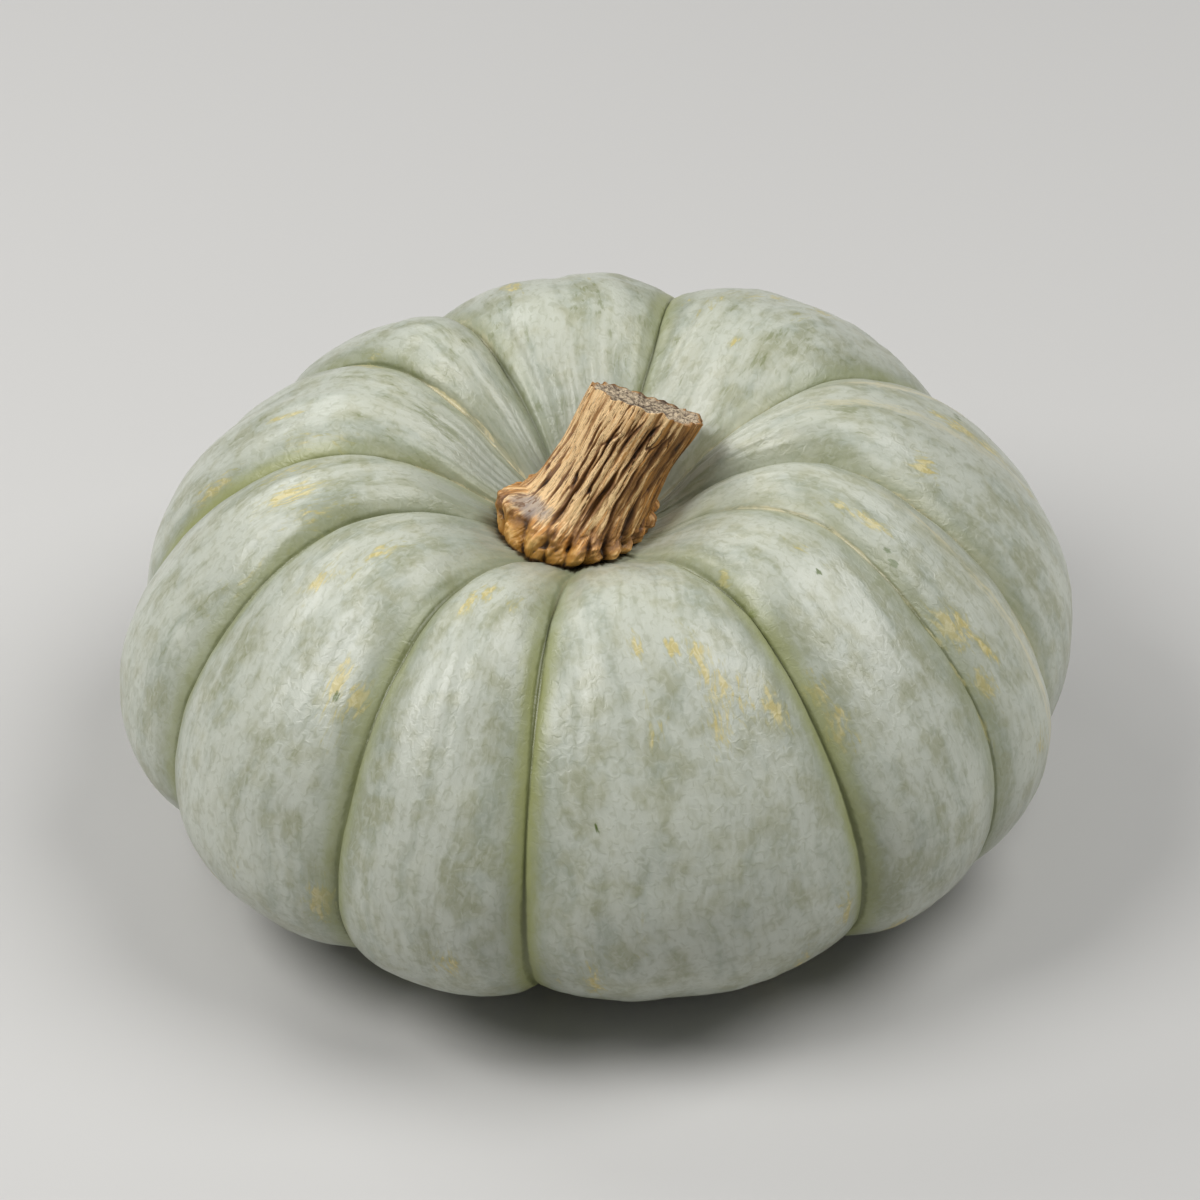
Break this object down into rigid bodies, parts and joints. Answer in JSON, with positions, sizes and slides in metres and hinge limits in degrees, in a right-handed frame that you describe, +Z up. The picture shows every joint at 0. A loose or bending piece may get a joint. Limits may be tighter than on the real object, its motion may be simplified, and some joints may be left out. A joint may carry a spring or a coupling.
{
  "type": "jarrahdale pumpkin",
  "caption": "Whole jarrahdale pumpkin as picked: a wide, flattened, deeply ribbed grey-green fruit with a dry, corky, leaning stem; it rests on the flat spots under its ribs.",
  "frame": {"origin": "on the surface the pumpkin rests on, below the middle of its box", "axes": "+Z up, out of the stem end; -Y is the side turned to the viewer, the stem leans towards +X and +Y"},
  "size_m": [0.2526, 0.2523, 0.1277],
  "materials": {
    "rind": "satin",
    "cork": "matte"
  },
  "bodies": {
    "root": {"fruit": "rind", "stem": "cork"}
  },
  "joints": []
}
